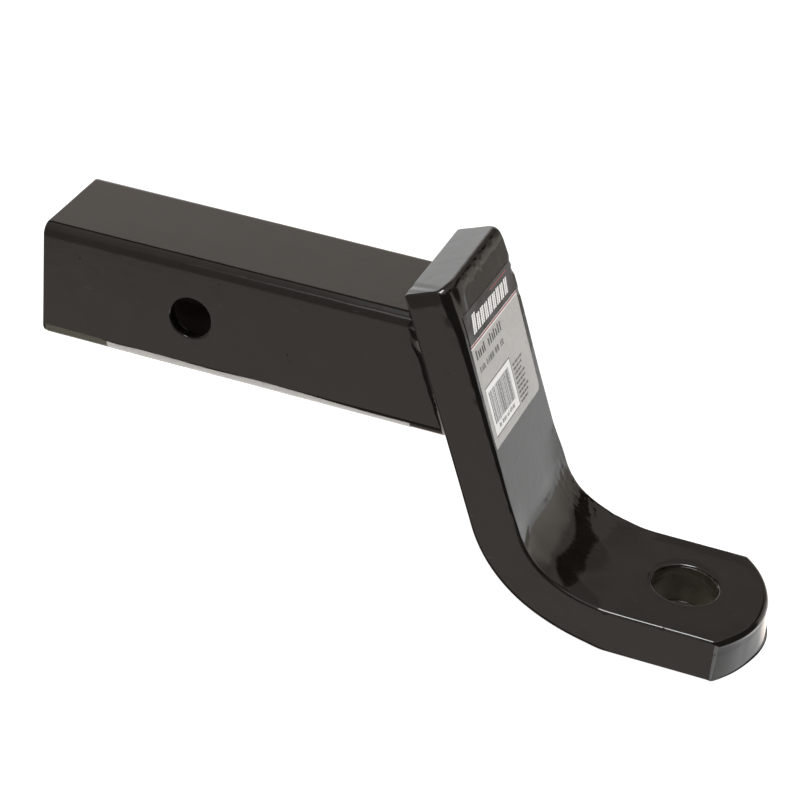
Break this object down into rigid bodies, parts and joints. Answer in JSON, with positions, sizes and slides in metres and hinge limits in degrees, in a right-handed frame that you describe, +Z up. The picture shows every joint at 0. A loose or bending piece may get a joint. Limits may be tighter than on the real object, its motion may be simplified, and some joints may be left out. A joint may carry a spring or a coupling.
{
  "type": "trailer hitch ball mount",
  "caption": "Drop ball mount: hollow square shank for a hitch receiver, welded to a bent flat bar whose level platform is bored for a trailer ball.",
  "frame": {"origin": "centre of the hitch pin hole, on the shank's axis", "axes": "+X along the shank from its open end towards the ball platform, +Y to the far side, +Z up in a receiver, with the platform below the shank"},
  "size_m": [0.3089, 0.065, 0.1411],
  "materials": {
    "shank_paint": "gloss black",
    "plate_paint": "gloss black",
    "weld_paint": "gloss black over weld metal",
    "front_label_print": "printed vinyl",
    "underside_label_print": "printed vinyl"
  },
  "bodies": {
    "root": {"shank_tube": "shank_paint", "drop_plate": "plate_paint", "weld_top": "weld_paint", "weld_bottom": "weld_paint", "weld_near_side": "weld_paint", "weld_far_side": "weld_paint", "front_label": "front_label_print", "underside_label": "underside_label_print"}
  },
  "joints": []
}
